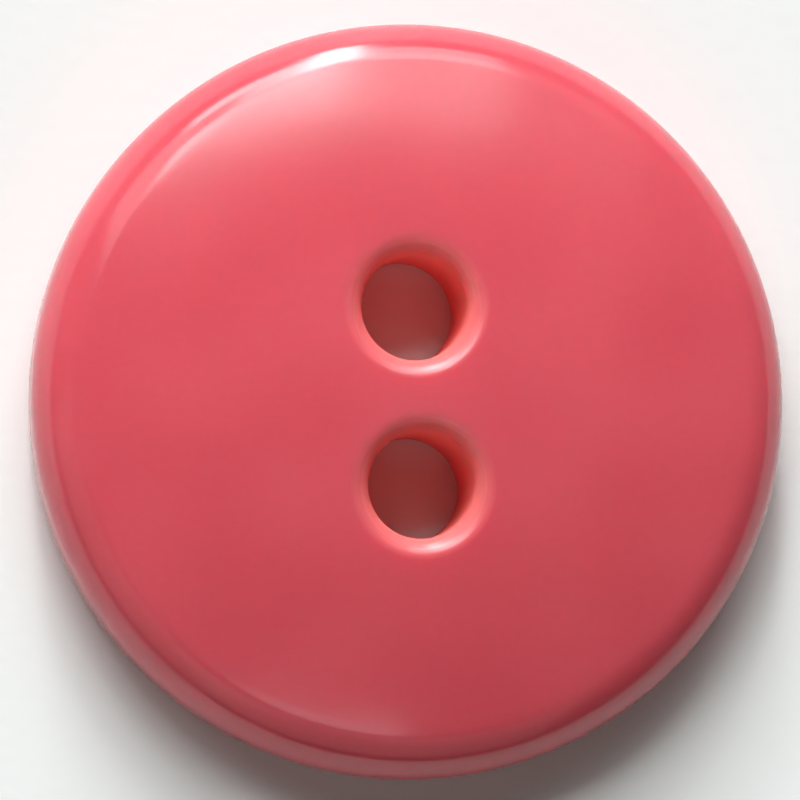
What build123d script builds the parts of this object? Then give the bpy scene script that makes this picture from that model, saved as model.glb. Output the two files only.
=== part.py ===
from build123d import *
from math import isclose, sqrt
import os

# A plain sewing button with two thread holes, moulded in one piece of coral plastic.
# The back lies on the XY plane, the domed face looks up +Z, and the two holes
# stand in a line along Y, one each side of the centre. All sizes are in millimetres.

# Driving dimensions of the blank
diameter = 15.0  # across the rim, the trade's 24 ligne
thickness = 3.2  # from the back to the top of the crown
crown_rise = 1.1  # height of the crown above the sharp edge that the shoulder takes off
shoulder_radius = 1.2  # roll from the crown down into the rim
back_edge_radius = 0.6  # roll from the rim under to the back

# Driving dimensions of the thread holes
hole_spacing = 3.5  # between the axes of the two holes
hole_diameter = 2.1  # of each bore
mouth_radius = 0.4  # roll of the face down into each hole
back_mouth_radius = 0.2  # eased edge where each hole comes out at the back
least_land = 0.05  # plain surface that is always left between two rolled edges

# Worked out from the driving dimensions
rim_radius = diameter / 2
rim_edge_height = thickness - crown_rise
crown_radius = (rim_radius**2 + crown_rise**2) / (2 * crown_rise)
hole_radius = hole_diameter / 2
half_bridge = (hole_spacing - hole_diameter) / 2


def crown_height(from_axis):
    """Height of the crown's sphere above the back, at a distance from the button's axis."""
    return thickness - crown_radius + sqrt(crown_radius**2 - from_axis**2)


def shoulder():
    """The shoulder's radius, no more than the rim's wall has room for."""
    room = rim_edge_height - back_edge_radius - least_land
    # A roll takes this share of its own radius from the wall below a corner of this slope.
    slope = rim_radius / crown_radius
    share = sqrt((1 - slope) / (1 + slope))
    return min(shoulder_radius, room / share)


def mouth(radius):
    """A hole's rolled edge, no more than the bridge between the two holes has room for."""
    return min(radius, half_bridge - least_land / 2)


def rim_corners(sketch):
    """The corners of the section that lie furthest out, the lowest first."""
    return sketch.vertices().group_by(Axis.X)[-1].sort_by(Axis.Y)


def section():
    """Half of the blank's section in the XZ plane: flat back, upright rim and crowned face."""
    halfway = rim_radius / 2
    with BuildSketch(Plane.XZ) as half:
        with BuildLine():
            Polyline((0, thickness), (0, 0), (rim_radius, 0), (rim_radius, rim_edge_height))
            ThreePointArc(
                (rim_radius, rim_edge_height), (halfway, crown_height(halfway)), (0, thickness)
            )
        make_face()
        fillet(rim_corners(half)[0], back_edge_radius)
        fillet(rim_corners(half)[-1], shoulder())
    return half.sketch


def thread_holes():
    """The two bores as cutters that pass both faces."""
    length = 2 * thickness
    return [
        Pos(0, side * hole_spacing / 2, thickness / 2) * Cylinder(hole_radius, length)
        for side in (1, -1)
    ]


def hole_edges(body):
    """The round edges that end the two bores, the two on the back first."""
    walls = body.faces().filter_by(GeomType.CYLINDER)
    bores = walls.filter_by(lambda wall: isclose(wall.radius, hole_radius))
    return bores.edges().filter_by(GeomType.LINE, reverse=True).sort_by(Axis.Z)


def button():
    """The whole button: turned blank, two bores, and their rolled edges at both ends."""
    body = revolve(section(), Axis.Z) - thread_holes()
    body = fillet(hole_edges(body)[:2], mouth(back_mouth_radius))
    return fillet(hole_edges(body)[-2:], mouth(mouth_radius))


os.makedirs("parts", exist_ok=True)
export_step(button(), "parts/button.step")
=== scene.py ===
"""Portrait of a coral sewing button with two thread holes, lying on a white table.

The button is one moulded piece. Its skin is grown by a Geometry Nodes tree from the
same few sizes that the solid model has, and dressed in one glossy plastic. A window
beyond the top of the picture lights it, and the camera looks almost straight down.
Lengths are in metres and angles in degrees unless a name says otherwise.
"""

from __future__ import annotations

import logging
import math
from dataclasses import dataclass, field
from enum import Enum
from typing import Callable

import bpy
from mathutils import Matrix, Vector

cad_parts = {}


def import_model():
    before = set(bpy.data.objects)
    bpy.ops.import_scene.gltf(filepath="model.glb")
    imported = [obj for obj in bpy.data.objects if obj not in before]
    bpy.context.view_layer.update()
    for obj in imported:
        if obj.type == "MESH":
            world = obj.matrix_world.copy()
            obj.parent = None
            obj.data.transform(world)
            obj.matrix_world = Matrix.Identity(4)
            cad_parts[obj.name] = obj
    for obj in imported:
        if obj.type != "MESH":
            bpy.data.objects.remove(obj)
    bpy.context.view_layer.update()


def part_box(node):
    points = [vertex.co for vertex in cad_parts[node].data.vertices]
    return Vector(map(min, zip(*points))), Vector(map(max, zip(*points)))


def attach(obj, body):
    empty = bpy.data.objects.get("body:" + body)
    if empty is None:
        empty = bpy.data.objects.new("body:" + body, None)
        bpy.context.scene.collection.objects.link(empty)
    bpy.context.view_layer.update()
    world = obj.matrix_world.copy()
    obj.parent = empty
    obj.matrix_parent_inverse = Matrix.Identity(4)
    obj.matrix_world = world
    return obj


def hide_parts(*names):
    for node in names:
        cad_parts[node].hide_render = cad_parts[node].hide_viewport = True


LOG = logging.getLogger("button_portrait")
NODE = "button"
BODY = "root"
MM = 0.001

WHITE = (1.0, 1.0, 1.0)
CREAM = (1.0, 0.96, 0.88)  # the light that a cream wall throws back

Scalar = "Number | float"


class Mask(Enum):
    """The parts of the skin that the mesh marks for its finish."""

    BORE = "bore"
    BACK = "back"


@dataclass(frozen=True)
class Number:
    """A number that may vary over a surface, held as an output socket of a node tree.

    Attributes:
        socket: The output that carries the number.
    """

    socket: bpy.types.NodeSocket

    def __add__(self, other: Scalar) -> Number:
        """Sum of two numbers."""
        return worked("ADD", self, other)

    __radd__ = __add__

    def __sub__(self, other: Scalar) -> Number:
        """This number less another."""
        return worked("SUBTRACT", self, other)

    def __rsub__(self, other: Scalar) -> Number:
        """Another number less this one."""
        return worked("SUBTRACT", other, self)

    def __mul__(self, other: Scalar) -> Number:
        """Product of two numbers."""
        return worked("MULTIPLY", self, other)

    __rmul__ = __mul__

    def __truediv__(self, other: Scalar) -> Number:
        """This number over another."""
        return worked("DIVIDE", self, other)

    def __rtruediv__(self, other: Scalar) -> Number:
        """Another number over this one."""
        return worked("DIVIDE", other, self)

    def power(self, exponent: float) -> Number:
        """This number raised to an exponent."""
        return worked("POWER", self, exponent)

    def root(self) -> Number:
        """Square root."""
        return worked("SQRT", self)

    def sin(self) -> Number:
        """Sine, of radians."""
        return worked("SINE", self)

    def cos(self) -> Number:
        """Cosine, of radians."""
        return worked("COSINE", self)

    def arccos(self) -> Number:
        """The angle with this cosine, in radians."""
        return worked("ARCCOSINE", self)

    def size(self) -> Number:
        """This number without its sign."""
        return worked("ABSOLUTE", self)

    def clamped(self) -> Number:
        """This number held between 0 and 1."""
        held = worked("ADD", self, 0.0)
        held.socket.node.use_clamp = True
        return held


def worked(operation: str, *terms: Scalar) -> Number:
    """Adds one maths node to the tree that the terms come from.

    Args:
        operation: Blender's name of the operation.
        *terms: Its operands, of which at least one is a Number.

    Returns:
        The node's result.
    """
    tree = next(term.socket.id_data for term in terms if isinstance(term, Number))
    node = tree.nodes.new("ShaderNodeMath")
    node.operation = operation
    for slot, term in zip(node.inputs, terms):
        feed(tree, slot, term)
    return Number(node.outputs[0])


def feed(tree: bpy.types.NodeTree, slot: bpy.types.NodeSocket, value: object) -> None:
    """Links a Number or a socket to an input, or sets a plain value on it.

    Args:
        tree: The tree that holds the input.
        slot: The input.
        value: A Number, an output socket, or a value that the input takes.
    """
    if isinstance(value, Number):
        value = value.socket
    if isinstance(value, bpy.types.NodeSocket):
        tree.links.new(value, slot)
    else:
        slot.default_value = value


@dataclass(frozen=True)
class Spot:
    """A place or a direction whose three parts may each vary over a surface."""

    x: Scalar
    y: Scalar
    z: Scalar

    def __add__(self, other: Spot) -> Spot:
        """Sum of two, part by part."""
        return Spot(self.x + other.x, self.y + other.y, self.z + other.z)

    def __sub__(self, other: Spot) -> Spot:
        """This one less another, part by part."""
        return Spot(self.x - other.x, self.y - other.y, self.z - other.z)

    def times(self, by: Scalar) -> Spot:
        """This one made longer or shorter."""
        return Spot(by * self.x, by * self.y, by * self.z)

    def dot(self, other: Spot) -> Scalar:
        """Dot product of two."""
        return self.x * other.x + self.y * other.y + self.z * other.z

    def towards(self, other: Spot, share: Scalar) -> Spot:
        """The place that lies a share of the straight way to another."""
        return self + (other - self).times(share)

    def turned_towards(self, other: Spot, share: Scalar) -> Spot:
        """The direction that lies a share of the even turn to another direction."""
        angle = self.dot(other).arccos()
        own = ((1 - share) * angle).sin() / angle.sin()
        others = (share * angle).sin() / angle.sin()
        return self.times(own) + other.times(others)


@dataclass
class Patch:
    """One sheet of quads between two seams of the skin.

    Attributes:
        rows: Quads from the first seam to the second.
        place: Where the skin lies, from the shares around and along the patch.
        bore: How far the patch belongs to a bore, from the share along it.
        back: How far it belongs to the back, from the share along it.
    """

    rows: int
    place: Callable[[Number, Number], Spot]
    bore: Callable[[Number], Scalar] = lambda along: 0.0
    back: Callable[[Number], Scalar] = lambda along: 0.0


@dataclass
class ButtonSkin:
    """The moulded button: crown, shoulder, rim, back and two thread holes in one skin.

    Half of the button around one hole is made patch by patch, in the order of a walk over
    its section, and the other half is the same one turned by half a turn.

    Attributes:
        diameter: Across the rim.
        thickness: From the back to the top of the crown.
        crown_rise: Height of the crown above the sharp edge that the shoulder takes off.
        shoulder_radius: Roll from the crown into the rim.
        back_edge_radius: Roll from the rim under to the back.
        hole_spacing: Between the axes of the two holes.
        hole_diameter: Of each bore.
        mouth_radius: Roll of the face down into each hole.
        back_mouth_radius: Eased edge of each hole on the back.
        rim_columns: Quads along half of the rim.
        bridge_columns: Quads along the line that parts the two halves.
        weld: Two points of the patches' seams closer than this become one.
        sizes: The node tree's own inputs by name, set while the tree is built.
    """

    diameter: float
    thickness: float
    crown_rise: float = 1.1 * MM
    shoulder_radius: float = 1.2 * MM
    back_edge_radius: float = 0.6 * MM
    hole_spacing: float = 3.5 * MM
    hole_diameter: float = 2.1 * MM
    mouth_radius: float = 0.4 * MM
    back_mouth_radius: float = 0.2 * MM
    rim_columns: int = 128
    bridge_columns: int = 72
    weld: float = 0.0002 * MM
    sizes: dict[str, Number] = field(default_factory=dict, init=False)

    SIZE_NAMES = (
        "diameter",
        "thickness",
        "crown_rise",
        "shoulder_radius",
        "back_edge_radius",
        "hole_spacing",
        "hole_diameter",
        "mouth_radius",
        "back_mouth_radius",
    )

    @classmethod
    def in_frame(cls) -> ButtonSkin:
        """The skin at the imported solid's own diameter and thickness."""
        low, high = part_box(NODE)
        return cls(diameter=max(high.x - low.x, high.y - low.y), thickness=high.z - low.z)

    def build(self, material: bpy.types.Material) -> bpy.types.Object:
        """Grows the skin and turns it into a plain mesh.

        Args:
            material: The button's finish.

        Returns:
            The button, at the origin, with its place in its mesh.
        """
        tree = self._tree()
        piece = bpy.data.objects.new("moulded_button", bpy.data.meshes.new("moulded_button"))
        bpy.context.scene.collection.objects.link(piece)
        modifier = piece.modifiers.new("skin", "NODES")
        modifier.node_group = tree
        for item in tree.interface.items_tree:
            if item.in_out == "INPUT" and item.name == "Finish":
                modifier[item.identifier] = material
            elif item.in_out == "INPUT":
                modifier[item.identifier] = float(getattr(self, item.name))
        graph = bpy.context.evaluated_depsgraph_get()
        mesh = bpy.data.meshes.new_from_object(
            piece.evaluated_get(graph), preserve_all_data_layers=True, depsgraph=graph
        )
        piece.modifiers.clear()
        piece.data = mesh
        mesh.name = piece.name
        # The grids bring an empty slot of their own before the finish.
        mesh.materials.pop(index=0)
        return piece

    def _tree(self) -> bpy.types.GeometryNodeTree:
        """Builds the node tree, with every size as a named input."""
        tree = bpy.data.node_groups.new("button_skin", "GeometryNodeTree")
        for name in self.SIZE_NAMES:
            tree.interface.new_socket(name, in_out="INPUT", socket_type="NodeSocketFloat")
        tree.interface.new_socket("Finish", in_out="INPUT", socket_type="NodeSocketMaterial")
        tree.interface.new_socket("Skin", in_out="OUTPUT", socket_type="NodeSocketGeometry")
        given = tree.nodes.new("NodeGroupInput")
        self.sizes = {name: Number(given.outputs[name]) for name in self.SIZE_NAMES}

        halves = tree.nodes.new("GeometryNodeJoinGeometry")
        for columns, edge, patches in self._fans():
            for patch in patches:
                tree.links.new(self._sheet(tree, columns, edge, patch), halves.inputs[0])
        whole = self._both_halves(tree, halves.outputs[0])

        joined = node_after(tree, "GeometryNodeMergeByDistance", whole, Distance=self.weld)
        outward = node_after(tree, "GeometryNodeFlipFaces", joined)
        smooth = node_after(tree, "GeometryNodeSetShadeSmooth", outward)
        dressed = node_after(
            tree, "GeometryNodeSetMaterial", smooth, Material=given.outputs["Finish"]
        )
        tree.links.new(dressed, tree.nodes.new("NodeGroupOutput").inputs[0])
        return tree

    def _both_halves(
        self, tree: bpy.types.GeometryNodeTree, half: bpy.types.NodeSocket
    ) -> bpy.types.NodeSocket:
        """Sets the half out twice, the second time turned by half a turn about the axis."""
        stations = tree.nodes.new("GeometryNodeMeshLine")
        stations.inputs["Count"].default_value = 2
        stations.inputs["Offset"].default_value = (0, 0, 0)
        count = Number(tree.nodes.new("GeometryNodeInputIndex").outputs[0])
        turn = combined(tree, Spot(0.0, 0.0, count * math.pi))
        placed = node_after(
            tree,
            "GeometryNodeInstanceOnPoints",
            stations.outputs[0],
            Instance=half,
            Rotation=turn,
        )
        return node_after(tree, "GeometryNodeRealizeInstances", placed)

    def _sheet(
        self, tree: bpy.types.GeometryNodeTree, columns: int, edge: Callable, patch: Patch
    ) -> bpy.types.NodeSocket:
        """Makes one patch.

        Args:
            tree: The tree that it is added to.
            columns: Quads around.
            edge: The fan's outer direction, from the share around.
            patch: What to make.

        Returns:
            The patch's geometry.
        """
        grid = tree.nodes.new("GeometryNodeMeshGrid")
        for name, value in (("Size X", 1.0), ("Size Y", 1.0)):
            grid.inputs[name].default_value = value
        grid.inputs["Vertices X"].default_value = columns + 1
        grid.inputs["Vertices Y"].default_value = patch.rows + 1
        flat = tree.nodes.new("ShaderNodeSeparateXYZ")
        tree.links.new(tree.nodes.new("GeometryNodeInputPosition").outputs[0], flat.inputs[0])
        around = Number(flat.outputs["X"]) + 0.5
        along = Number(flat.outputs["Y"]) + 0.5
        sheet = grid.outputs["Mesh"]
        for mask, share in ((Mask.BORE, patch.bore), (Mask.BACK, patch.back)):
            sheet = node_after(
                tree,
                "GeometryNodeStoreNamedAttribute",
                sheet,
                Name=mask.value,
                Value=share(along),
            )
        place = combined(tree, patch.place(edge(around), along))
        return node_after(tree, "GeometryNodeSetPosition", sheet, Position=place)

    def _fans(self) -> list[tuple[int, Callable, list[Patch]]]:
        """The two fans of patches around one hole: out to the rim, and in to the other hole."""
        section = Section(self.sizes)
        walk = [
            Patch(18, section.back_face, back=lambda along: 1.0),
            Patch(8, section.back_mouth, bore=lambda along: along, back=lambda along: 1 - along),
            Patch(14, section.bore_wall, bore=lambda along: 1.0),
            Patch(24, section.mouth, bore=lambda along: 1 - along),
            Patch(36, section.crown),
        ]
        outside = [
            Patch(24, section.shoulder),
            Patch(2, section.rim_land),
            Patch(14, section.back_edge, back=lambda along: along.power(2)),
        ]
        return [
            (self.rim_columns, section.along_rim, walk + outside),
            (self.bridge_columns, section.along_bridge, walk),
        ]


@dataclass(frozen=True)
class Edge:
    """One column's place on the outline of a half button.

    Attributes:
        spoke: From the button's axis to the outline, for an outline of radius 1.
        heading: From the hole's axis to the rim, one unit long.
    """

    spoke: Spot
    heading: Spot


class Section:
    """Where the skin lies, worked out inside the node tree from the button's sizes.

    Attributes:
        BRIDGE_CROWDING: How far the columns crowd to the bridge's middle, from 0 to 1.
        CROWN_CROWDING: Power that crowds the crown's rows to the mouth, where 1 is even.
    """

    BRIDGE_CROWDING = 0.5
    CROWN_CROWDING = 1.25

    def __init__(self, sizes: dict[str, Number]) -> None:
        """Works out what several patches share.

        Args:
            sizes: The tree's inputs by name.
        """
        self.back_roll = sizes["back_edge_radius"]
        self.shoulder_roll = sizes["shoulder_radius"]
        self.mouth_roll = sizes["mouth_radius"]
        self.eased = sizes["back_mouth_radius"]
        self.rim = sizes["diameter"] / 2
        self.bore = sizes["hole_diameter"] / 2
        self.hole = Spot(0.0, sizes["hole_spacing"] / 2, 0.0)
        rise = sizes["crown_rise"]
        self.crown_radius = (self.rim * self.rim + rise * rise) / (2 * rise)
        self.crown_centre = Spot(0.0, 0.0, sizes["thickness"] - self.crown_radius)
        # The shoulder's ball touches the crown from inside at this share of the way out.
        self.shoulder_out = self.rim - self.shoulder_roll
        within = self.crown_radius - self.shoulder_roll
        self.shoulder_up = self.crown_centre.z + self._leg(within, self.shoulder_out)
        self.crown_limit = self.shoulder_out * self.crown_radius / within
        self.crown_slope = (self.shoulder_out / within).arccos()

    @staticmethod
    def _leg(longest: Number, other: Number) -> Number:
        """The third side of a right triangle, from its longest side and another."""
        return (longest * longest - other * other).root()

    def along_rim(self, around: Number) -> Edge:
        """Evenly round the half circle of the rim, anticlockwise from +X."""
        angle = around * math.pi
        return self._edge(Spot(angle.cos(), angle.sin(), 0.0))

    def along_bridge(self, around: Number) -> Edge:
        """Along the line between the halves from -X to +X, closer together in the middle."""
        way = 2 * around - 1
        even, crowded = 1 - self.BRIDGE_CROWDING, self.BRIDGE_CROWDING
        return self._edge(Spot(even * way + crowded * way.power(3), 0.0, 0.0))

    def _edge(self, spoke: Spot) -> Edge:
        """The column that ends at this spoke."""
        reach = spoke.times(self.rim) - self.hole
        return Edge(spoke, reach.times(1 / reach.dot(reach).root()))

    def _ball(self, edge: Edge) -> Spot:
        """Centre of the ball that rolls round the hole, against the bore and under the crown."""
        level = self.hole + edge.heading.times(self.bore + self.mouth_roll)
        out = level.x * level.x + level.y * level.y
        within = self.crown_radius - self.mouth_roll
        return level + Spot(0.0, 0.0, self.crown_centre.z + (within * within - out).root())

    def _on_crown(self, level: Spot) -> Spot:
        """The crown straight above a place."""
        out = level.x * level.x + level.y * level.y
        rise = (self.crown_radius * self.crown_radius - out).root()
        return Spot(level.x, level.y, self.crown_centre.z + rise)

    def back_face(self, edge: Edge, along: Number) -> Spot:
        """The flat back, from its outer edge in to the hole."""
        outer = edge.spoke.times(self.rim - self.back_roll)
        inner = self.hole + edge.heading.times(self.bore + self.eased)
        return outer.towards(inner, along)

    def back_mouth(self, edge: Edge, along: Number) -> Spot:
        """The eased edge of the hole on the back, from the back up into the bore."""
        angle = along * (math.pi / 2)
        out = self.bore + self.eased * (1 - angle.sin())
        return self.hole + edge.heading.times(out) + Spot(0.0, 0.0, self.eased * (1 - angle.cos()))

    def bore_wall(self, edge: Edge, along: Number) -> Spot:
        """The bore, from the eased edge up to where the mouth begins to roll."""
        foot = self.hole + edge.heading.times(self.bore) + Spot(0.0, 0.0, self.eased)
        climb = (self._ball(edge).z - self.eased) * along
        return foot + Spot(0.0, 0.0, climb)

    def mouth(self, edge: Edge, along: Number) -> Spot:
        """The rolled mouth, from the bore's wall over to the crown."""
        ball = self._ball(edge)
        up = (ball - self.crown_centre).times(1 / (self.crown_radius - self.mouth_roll))
        inward = edge.heading.times(-1.0)
        return ball + inward.turned_towards(up, along).times(self.mouth_roll)

    def crown(self, edge: Edge, along: Number) -> Spot:
        """The crown, from the mouth out to the shoulder or to the line between the halves."""
        ball = self._ball(edge)
        swell = self.crown_radius / (self.crown_radius - self.mouth_roll)
        inner = Spot(ball.x * swell, ball.y * swell, 0.0)
        outer = edge.spoke.times(self.crown_limit)
        return self._on_crown(inner.towards(outer, along.power(self.CROWN_CROWDING)))

    def shoulder(self, edge: Edge, along: Number) -> Spot:
        """The shoulder, from the crown over to the rim."""
        angle = self.crown_slope * (1 - along)
        out = self.shoulder_out + self.shoulder_roll * angle.cos()
        up = self.shoulder_up + self.shoulder_roll * angle.sin()
        return edge.spoke.times(out) + Spot(0.0, 0.0, up)

    def rim_land(self, edge: Edge, along: Number) -> Spot:
        """The upright rim, from the shoulder down to the roll under."""
        up = self.shoulder_up + (self.back_roll - self.shoulder_up) * along
        return edge.spoke.times(self.rim) + Spot(0.0, 0.0, up)

    def back_edge(self, edge: Edge, along: Number) -> Spot:
        """The roll under, from the rim to the flat back."""
        angle = along * (math.pi / 2)
        out = self.rim - self.back_roll * (1 - angle.cos())
        return edge.spoke.times(out) + Spot(0.0, 0.0, self.back_roll * (1 - angle.sin()))


def node_after(
    tree: bpy.types.NodeTree, kind: str, geometry: bpy.types.NodeSocket, **inputs: object
) -> bpy.types.NodeSocket:
    """Adds a geometry node behind another.

    Args:
        tree: The tree that it is added to.
        kind: Blender's name of the node.
        geometry: What goes into the node's first input.
        **inputs: Its other inputs by name.

    Returns:
        The node's first output.
    """
    node = tree.nodes.new(kind)
    tree.links.new(geometry, node.inputs[0])
    for name, value in inputs.items():
        feed(tree, node.inputs[name], value)
    return node.outputs[0]


def combined(tree: bpy.types.NodeTree, spot: Spot) -> bpy.types.NodeSocket:
    """Joins a spot's three parts into one vector output.

    Args:
        tree: The tree that holds the parts.
        spot: The parts.

    Returns:
        The vector.
    """
    node = tree.nodes.new("ShaderNodeCombineXYZ")
    for slot, part in zip(node.inputs, (spot.x, spot.y, spot.z)):
        feed(tree, slot, part)
    return node.outputs[0]


class SurfaceEffect:
    """A shader node group that is built once and placed in every finish that needs it.

    Each group takes a place in metres and a few sizes, and gives a mask from 0 to 1.

    Attributes:
        name: The group's name.
        sizes: Its named inputs, each with its usual value.
    """

    name: str
    sizes: dict[str, float]

    @classmethod
    def mask(cls, tree: bpy.types.NodeTree, place: bpy.types.NodeSocket, **sizes: float) -> Number:
        """Places the group in a finish.

        Args:
            tree: The finish's tree.
            place: Where on the surface, in metres.
            **sizes: Inputs that differ from their usual values.

        Returns:
            The mask.
        """
        node = tree.nodes.new("ShaderNodeGroup")
        node.node_tree = cls._group()
        feed(tree, node.inputs["Place"], place)
        for name, value in sizes.items():
            feed(tree, node.inputs[name], value)
        return Number(node.outputs["Mask"])

    @classmethod
    def _group(cls) -> bpy.types.NodeTree:
        """The group itself, built the first time that it is asked for."""
        tree = bpy.data.node_groups.get(cls.name)
        if tree is not None:
            return tree
        tree = bpy.data.node_groups.new(cls.name, "ShaderNodeTree")
        tree.interface.new_socket("Place", in_out="INPUT", socket_type="NodeSocketVector")
        for name, usual in cls.sizes.items():
            socket = tree.interface.new_socket(name, in_out="INPUT", socket_type="NodeSocketFloat")
            socket.default_value = usual
        tree.interface.new_socket("Mask", in_out="OUTPUT", socket_type="NodeSocketFloat")
        given = tree.nodes.new("NodeGroupInput")
        sizes = {name: Number(given.outputs[name]) for name in cls.sizes}
        drawn = cls._drawn(tree, given.outputs["Place"], sizes)
        feed(tree, tree.nodes.new("NodeGroupOutput").inputs["Mask"], drawn.clamped())
        return tree

    @classmethod
    def _drawn(
        cls, tree: bpy.types.NodeTree, place: bpy.types.NodeSocket, sizes: dict[str, Number]
    ) -> Number:
        """Draws the mask inside the group."""
        raise NotImplementedError


class Clouds(SurfaceEffect):
    """Soft uneven patches, for pigment, polish and the slight waviness of a moulded face."""

    name = "soft_clouds"
    sizes = {"Patch": 1.0 * MM, "Contrast": 2.0}

    @classmethod
    def _drawn(
        cls, tree: bpy.types.NodeTree, place: bpy.types.NodeSocket, sizes: dict[str, Number]
    ) -> Number:
        """Noise with a wide spread about its middle."""
        value = noise(tree, place, 1 / sizes["Patch"])
        return (value - 0.5) * sizes["Contrast"] + 0.5


class Hairlines(SurfaceEffect):
    """Fine broken scratches that run mostly one way.

    Attributes:
        BREAKS: How often a scratch breaks off along its length.
        FADE: How quickly it fades out where it breaks off.
    """

    name = "hairline_scratches"
    sizes = {"Length": 4.0 * MM, "Spacing": 0.5 * MM, "Turn": 0.0, "Width": 0.02, "Share": 0.45}
    BREAKS = 1.6
    FADE = 8.0

    @classmethod
    def _drawn(
        cls, tree: bpy.types.NodeTree, place: bpy.types.NodeSocket, sizes: dict[str, Number]
    ) -> Number:
        """The thin contour lines of a drawn-out noise, kept only in patches."""
        turned = tree.nodes.new("ShaderNodeVectorRotate")
        turned.rotation_type = "Z_AXIS"
        feed(tree, turned.inputs["Vector"], place)
        feed(tree, turned.inputs["Angle"], sizes["Turn"])
        parts = tree.nodes.new("ShaderNodeSeparateXYZ")
        feed(tree, parts.inputs[0], turned.outputs[0])
        drawn_out = Spot(
            Number(parts.outputs["X"]) / sizes["Length"],
            Number(parts.outputs["Y"]) / sizes["Spacing"],
            Number(parts.outputs["Z"]) / sizes["Length"],
        )
        contour = noise(tree, combined(tree, drawn_out), 1.0)
        line = 1 - (contour - 0.5).size() / sizes["Width"]
        patches = noise(tree, place, cls.BREAKS / sizes["Length"])
        kept = (patches + sizes["Share"] - 1) * cls.FADE
        return line.clamped() * kept.clamped()


def noise(tree: bpy.types.NodeTree, place: object, scale: Scalar) -> Number:
    """Adds a smooth noise in three dimensions, of one layer.

    Args:
        tree: The tree that it is added to.
        place: Where it is read.
        scale: How many waves to the unit.

    Returns:
        The noise, mostly from 0.3 to 0.7.
    """
    node = tree.nodes.new("ShaderNodeTexNoise")
    feed(tree, node.inputs["Vector"], place)
    feed(tree, node.inputs["Scale"], scale)
    node.inputs["Detail"].default_value = 0.0
    return Number(node.outputs["Fac"])


def blended(
    tree: bpy.types.NodeTree, share: Scalar, first: object, second: object
) -> bpy.types.NodeSocket:
    """Mixes two colours.

    Args:
        tree: The tree that it is added to.
        share: Of the second colour, from 0 to 1.
        first: A colour or an output that carries one.
        second: A colour or an output that carries one.

    Returns:
        The mixed colour.
    """
    node = tree.nodes.new("ShaderNodeMix")
    node.data_type = "RGBA"
    # The node keeps a set of sockets for each kind of data, and these are the colour's.
    factor, one, other, mixed = node.inputs[0], node.inputs[6], node.inputs[7], node.outputs[2]
    for slot, value in ((factor, share), (one, first), (other, second)):
        feed(tree, slot, (*value, 1) if isinstance(value, tuple) else value)
    return mixed


def raised(tree: bpy.types.NodeTree, shader: bpy.types.ShaderNode, height: Number) -> None:
    """Bumps a shader's surface.

    Args:
        tree: The finish's tree.
        shader: The shader.
        height: Height of the surface, in metres.
    """
    bump = tree.nodes.new("ShaderNodeBump")
    bump.inputs["Strength"].default_value = 1.0
    bump.inputs["Distance"].default_value = 1.0
    feed(tree, bump.inputs["Height"], height)
    tree.links.new(bump.outputs["Normal"], shader.inputs["Normal"])


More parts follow.
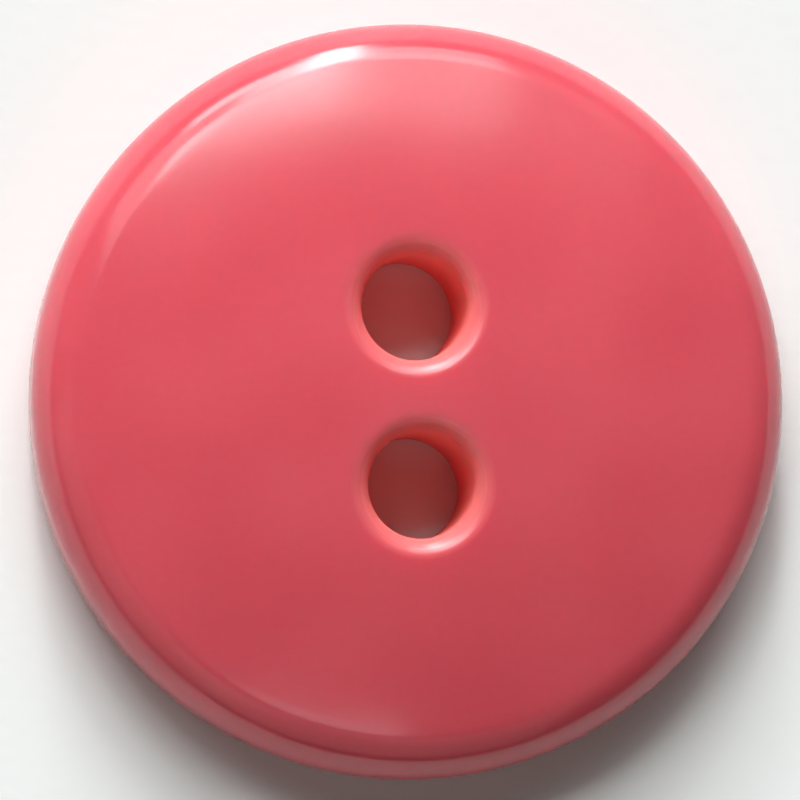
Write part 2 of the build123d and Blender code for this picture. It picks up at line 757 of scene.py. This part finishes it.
@dataclass(frozen=True)
class CoralPlastic:
    """Glossy coral polyester: polished on the face and rim, duller in the bores and back.

    Attributes:
        pale: Linear colour where the pigment is thinnest.
        deep: Linear colour where it is thickest.
        painted_bore_glow: Linear colour painted on a bore's wall and mouth, a painted glow that
            stands in for light coming through the plastic.
        cloud_patch: Width of the pigment's clouds.
        grain_patch: Width of the pigment's fine grain.
        grain_share: The grain's share of the pigment's unevenness.
        refraction: Refractive index of polyester.
        glow_depth: How far red, green and blue light travels inside, against each other.
        glow_reach: How far red light travels inside.
        gloss: Roughness of the polished face.
        dull_back: What the back adds to the roughness.
        dull_bore: What a bore and its mouth add to the roughness.
        smear_patch: Width of the smears in the polish.
        smear: How much the smears change the roughness.
        scratch: What the hairlines add to the roughness.
        scratch_turn: Direction of the hairlines, in radians.
        wave_patch: Width of the moulded face's slight waves.
        waviness: Height of those waves.
        tool_mark: Height of the rings that the cutter leaves in the bores and on the back.
        turning_pitch: From one ring to the next on the back.
        drilling_pitch: From one ring to the next in a bore.
    """

    pale: tuple[float, float, float] = (0.715, 0.096, 0.125)
    deep: tuple[float, float, float] = (0.668, 0.079, 0.107)
    painted_bore_glow: tuple[float, float, float] = (0.98, 0.24, 0.22)
    cloud_patch: float = 2.4 * MM
    grain_patch: float = 0.16 * MM
    grain_share: float = 0.25
    refraction: float = 1.55
    glow_depth: tuple[float, float, float] = (1.0, 0.1, 0.12)
    glow_reach: float = 0.7 * MM
    gloss: float = 0.15
    dull_back: float = 0.14
    dull_bore: float = 0.4
    smear_patch: float = 3.5 * MM
    smear: float = 0.05
    scratch: float = 0.06
    scratch_turn: float = 0.5
    wave_patch: float = 0.9 * MM
    waviness: float = 0.0012 * MM
    tool_mark: float = 0.004 * MM
    turning_pitch: float = 0.11 * MM
    drilling_pitch: float = 0.08 * MM

    def material(self) -> bpy.types.Material:
        """Builds the finish."""
        material = bpy.data.materials.new("coral_plastic")
        material.use_nodes = True
        tree = material.node_tree
        shader = tree.nodes["Principled BSDF"]
        shader.inputs["IOR"].default_value = self.refraction
        shader.subsurface_method = "BURLEY"
        shader.inputs["Subsurface Weight"].default_value = 1.0
        shader.inputs["Subsurface Radius"].default_value = self.glow_depth
        shader.inputs["Subsurface Scale"].default_value = self.glow_reach

        place = tree.nodes.new("ShaderNodeTexCoord").outputs["Object"]
        bore = attribute(tree, Mask.BORE)
        back = attribute(tree, Mask.BACK)
        self._colour(tree, shader, place, bore)
        self._polish(tree, shader, place, bore, back)
        self._relief(tree, shader, place, bore, back)
        return material

    def _colour(
        self,
        tree: bpy.types.NodeTree,
        shader: bpy.types.ShaderNode,
        place: bpy.types.NodeSocket,
        bore: Number,
    ) -> None:
        """Pigment that clouds slightly, with a redder painted glow in the bores that stands in for
        light coming through the plastic.
        """
        clouds = Clouds.mask(tree, place, Patch=self.cloud_patch, Contrast=2.5)
        grain = Clouds.mask(tree, place, Patch=self.grain_patch, Contrast=1.5)
        pigment = clouds * (1 - self.grain_share) + grain * self.grain_share
        body = blended(tree, pigment, self.pale, self.deep)
        # Painted glow: the bores and their mouths get a brighter, redder base colour in place of
        # light that comes through the plastic.
        feed(tree, shader.inputs["Base Color"], blended(tree, bore, body, self.painted_bore_glow))

    def _polish(
        self,
        tree: bpy.types.NodeTree,
        shader: bpy.types.ShaderNode,
        place: bpy.types.NodeSocket,
        bore: Number,
        back: Number,
    ) -> None:
        """Roughness: smeared polish, dull bores and back, and rougher scratches."""
        smears = Clouds.mask(tree, place, Patch=self.smear_patch, Contrast=3.0)
        scratches = Hairlines.mask(tree, place, Turn=self.scratch_turn)
        rough = self.gloss + (smears - 0.5) * self.smear + scratches * self.scratch
        rough = rough + bore * self.dull_bore + back * self.dull_back
        feed(tree, shader.inputs["Roughness"], rough)

    def _relief(
        self,
        tree: bpy.types.NodeTree,
        shader: bpy.types.ShaderNode,
        place: bpy.types.NodeSocket,
        bore: Number,
        back: Number,
    ) -> None:
        """Bump: a moulded face's waves and the cutter's rings."""
        waves = Clouds.mask(tree, place, Patch=self.wave_patch, Contrast=1.5)
        parts = tree.nodes.new("ShaderNodeSeparateXYZ")
        feed(tree, parts.inputs[0], place)
        across, along, up = (Number(parts.outputs[axis]) for axis in "XYZ")
        from_axis = (across * across + along * along).root()
        turned = rings(from_axis, self.turning_pitch, waves) * back
        drilled = rings(up, self.drilling_pitch, waves) * bore
        raised(tree, shader, waves * self.waviness + (turned + drilled) * self.tool_mark)


def rings(distance: Number, pitch: float, wander: Number, shift: float = 3.0) -> Number:
    """Even waves along a distance.

    Args:
        distance: From where the first wave begins.
        pitch: From one crest to the next.
        wander: A mask that shifts the crests a little.
        shift: How far the mask shifts them, in radians.

    Returns:
        The waves, from 0 to 1.
    """
    return 0.5 + 0.5 * (distance * (2 * math.pi / pitch) + wander * shift).sin()


def attribute(tree: bpy.types.NodeTree, mask: Mask) -> Number:
    """A mask that the mesh carries.

    Args:
        tree: The material's tree.
        mask: Which one.

    Returns:
        The mask, from 0 to 1.
    """
    node = tree.nodes.new("ShaderNodeAttribute")
    node.attribute_name = mask.value
    return Number(node.outputs["Fac"])


@dataclass(frozen=True)
class TableWhite:
    """A smooth matt white board, very slightly uneven.

    Attributes:
        bright: Linear colour of its lighter parts.
        shaded: Linear colour of its darker parts.
        uneven_patch: Width of those parts.
        mirroring: Specular level, where 0.5 is a common glossy surface.
        roughness: Of the lighter parts.
        dulling: What the darker parts add to the roughness.
        scuff_length: Length of the scuffs.
        scuff_spacing: From one scuff to the next.
        scuff_turn: Direction of the scuffs, in radians.
        scuffing: What the scuffs take from the roughness.
        grain_patch: Width of its grain.
        tooth: Height of its grain.
    """

    bright: tuple[float, float, float] = (0.895, 0.93, 0.918)
    shaded: tuple[float, float, float] = (0.864, 0.897, 0.886)
    uneven_patch: float = 9 * MM
    mirroring: float = 0.2
    roughness: float = 0.65
    dulling: float = 0.1
    scuff_length: float = 9 * MM
    scuff_spacing: float = 1.1 * MM
    scuff_turn: float = 1.1
    scuffing: float = 0.15
    grain_patch: float = 0.25 * MM
    tooth: float = 0.0025 * MM

    def material(self) -> bpy.types.Material:
        """Builds the finish."""
        material = bpy.data.materials.new("table_white")
        material.use_nodes = True
        tree = material.node_tree
        shader = tree.nodes["Principled BSDF"]
        shader.inputs["Specular IOR Level"].default_value = self.mirroring
        place = tree.nodes.new("ShaderNodeTexCoord").outputs["Object"]
        uneven = Clouds.mask(tree, place, Patch=self.uneven_patch)
        scuffs = Hairlines.mask(
            tree,
            place,
            Length=self.scuff_length,
            Spacing=self.scuff_spacing,
            Turn=self.scuff_turn,
        )
        grain = Clouds.mask(tree, place, Patch=self.grain_patch)
        rough = self.roughness + uneven * self.dulling - scuffs * self.scuffing
        feed(tree, shader.inputs["Base Color"], blended(tree, uneven, self.bright, self.shaded))
        feed(tree, shader.inputs["Roughness"], rough)
        raised(tree, shader, grain * self.tooth)
        return material


@dataclass(frozen=True)
class Table:
    """The white table top that the button lies on.

    Attributes:
        width: Of the square top.
    """

    width: float = 3.0

    def build(self, material: bpy.types.Material) -> bpy.types.Object:
        """Builds the top at the height of the button's back.

        Args:
            material: The table's finish.

        Returns:
            The top.
        """
        half = self.width / 2
        corners = [(-half, -half, 0), (half, -half, 0), (half, half, 0), (-half, half, 0)]
        mesh = bpy.data.meshes.new("table_top")
        mesh.from_pydata(corners, [], [(0, 1, 2, 3)])
        mesh.materials.append(material)
        top = bpy.data.objects.new("table_top", mesh)
        bpy.context.scene.collection.objects.link(top)
        return top


@dataclass(frozen=True)
class Pane:
    """A flat soft light that faces the button.

    Attributes:
        name: What the light is called.
        glow: Its brightness, where 1 is a white surface in full light.
        bearing: Direction in the picture, in degrees clockwise from the top.
        elevation: Height of its middle above the table, in degrees.
        width: How wide it looks from the button, in degrees.
        height: How high it looks from the button, in degrees.
        colour: Linear colour.
        distance: From the button.
    """

    name: str
    glow: float
    bearing: float
    elevation: float
    width: float
    height: float
    colour: tuple[float, float, float] = WHITE
    distance: float = 1.2

    def build(self, picture_up: float) -> bpy.types.Object:
        """Hangs the light.

        Args:
            picture_up: Bearing of the picture's top in the frame, in degrees clockwise from +Y.

        Returns:
            The light.
        """
        lamp = bpy.data.lights.new(self.name, "AREA")
        lamp.shape = "RECTANGLE"
        lamp.size = 2 * self.distance * math.tan(math.radians(self.width / 2))
        lamp.size_y = 2 * self.distance * math.tan(math.radians(self.height / 2))
        lamp.energy = self.glow * math.pi * lamp.size * lamp.size_y
        lamp.color = self.colour
        pane = bpy.data.objects.new(self.name, lamp)
        bpy.context.scene.collection.objects.link(pane)
        place = pointing(self.bearing + picture_up, self.elevation) * self.distance
        pane.matrix_world = aimed(place, Vector((0, 0, 0)), Vector((0, 0, 1)))
        return pane


def panes() -> list[Pane]:
    """The lights: a window past the picture's top with what surrounds it, a card and two walls."""
    # Each line gives the name, the glow, the bearing, the elevation, the width and the height.
    window = [
        Pane("low_window", 9.9, -20, 24, 21, 12),
        Pane("window", 9.6, -13, 38, 12, 14),
        Pane("window_left", 1.3, -27, 38, 12, 14),
        Pane("high_window", 8.6, -18, 53, 22, 14),
        Pane("low_window_right", 4.0, 8, 24, 24, 12),
        Pane("window_right", 6.0, 8, 38, 24, 14),
        Pane("high_window_right", 3.2, 8, 53, 22, 14),
        Pane("curtain", 1.95, -42, 40, 20, 34),
        Pane("right_curtain", 0.52, 34, 40, 20, 34),
        Pane("bright_sky", 22, -5, 22, 7.5, 30),
    ]
    rest = [
        Pane("card", 1.4, 186, 59, 18, 10),
        Pane("near_wall", 0.36, 180, 30, 60, 40, CREAM),
        Pane("side_wall", 0.3, -120, 30, 60, 40, CREAM),
    ]
    return window + rest


def pointing(bearing: float, elevation: float) -> Vector:
    """A direction from its bearing, clockwise from +Y, and its height, both in degrees."""
    turn, tilt = math.radians(bearing), math.radians(elevation)
    level = math.cos(tilt)
    return Vector((level * math.sin(turn), level * math.cos(turn), math.sin(tilt)))


def aimed(place: Vector, target: Vector, up: Vector) -> Matrix:
    """Where something stands that looks along its own -Z.

    Args:
        place: Where it stands.
        target: What it looks at.
        up: The way that its own +Y leans.

    Returns:
        Its place and turn as one matrix.
    """
    back = (place - target).normalized()
    right = up.cross(back).normalized()
    turned = Matrix((right, back.cross(right), back)).transposed()
    return Matrix.Translation(place) @ turned.to_4x4()


@dataclass(frozen=True)
class PortraitCamera:
    """The camera above the button, as the photograph was taken.

    Attributes:
        lean_left: How far it stands towards the picture's left of straight above, in degrees.
        lean_down: How far it stands towards the picture's bottom, in degrees.
        roll: Bearing of the picture's top, in degrees clockwise from +Y.
        distance: From the button.
        frame_width: What the picture's width spans at the button.
        middle: Where the picture's middle falls, right and up from the button's axis.
        target_height: Height of the point that it looks at, above the table.
        sensor: Width of its sensor, in millimetres as Blender takes it.
    """

    lean_left: float = 7.0
    lean_down: float = 3.5
    roll: float = 2.2
    distance: float = 0.18
    frame_width: float = 15.88 * MM
    middle: tuple[float, float] = (-0.14 * MM, 0.03 * MM)
    target_height: float = 1.0 * MM
    sensor: float = 36.0

    def build(self) -> bpy.types.Object:
        """Sets the camera up and makes it the scene's."""
        data = bpy.data.cameras.new("portrait")
        data.sensor_width = self.sensor
        data.lens = self.sensor * self.distance / self.frame_width
        data.clip_start = 1 * MM
        camera = bpy.data.objects.new("portrait", data)
        bpy.context.scene.collection.objects.link(camera)
        right, up = pointing(self.roll + 90, 0), pointing(self.roll, 0)
        lean = -right * math.sin(math.radians(self.lean_left))
        lean -= up * math.sin(math.radians(self.lean_down))
        towards = Vector((lean.x, lean.y, math.sqrt(1 - lean.length_squared)))
        target = right * self.middle[0] + up * self.middle[1]
        target.z = self.target_height
        camera.matrix_world = aimed(target + towards * self.distance, target, up)
        bpy.context.scene.camera = camera
        return camera


@dataclass(frozen=True)
class Room:
    """A white surround where the camera looks past the table, which lights nothing.

    Attributes:
        surround: Its brightness.
    """

    surround: float = 0.95

    def build(self) -> bpy.types.World:
        """Makes the world and gives it to the scene."""
        world = bpy.data.worlds.new("room")
        world.use_nodes = True
        bpy.context.scene.world = world
        tree = world.node_tree
        seen = Number(tree.nodes.new("ShaderNodeLightPath").outputs["Is Camera Ray"])
        background = tree.nodes["Background"]
        background.inputs["Color"].default_value = (*WHITE, 1)
        feed(tree, background.inputs["Strength"], seen * self.surround)
        return world


def main() -> None:
    """Loads the frame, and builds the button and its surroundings."""
    logging.basicConfig(level=logging.INFO, format="%(name)s: %(message)s")
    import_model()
    bpy.context.scene.view_settings.view_transform = "Standard"

    camera = PortraitCamera()
    camera.build()
    button = ButtonSkin.in_frame().build(CoralPlastic().material())
    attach(button, BODY)
    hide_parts(NODE)
    LOG.info("%s has %d faces", button.name, len(button.data.polygons))

    Table().build(TableWhite().material())
    for pane in panes():
        pane.build(camera.roll)
        LOG.info("light %s hung", pane.name)
    Room().build()


if __name__ == "__main__":
    main()
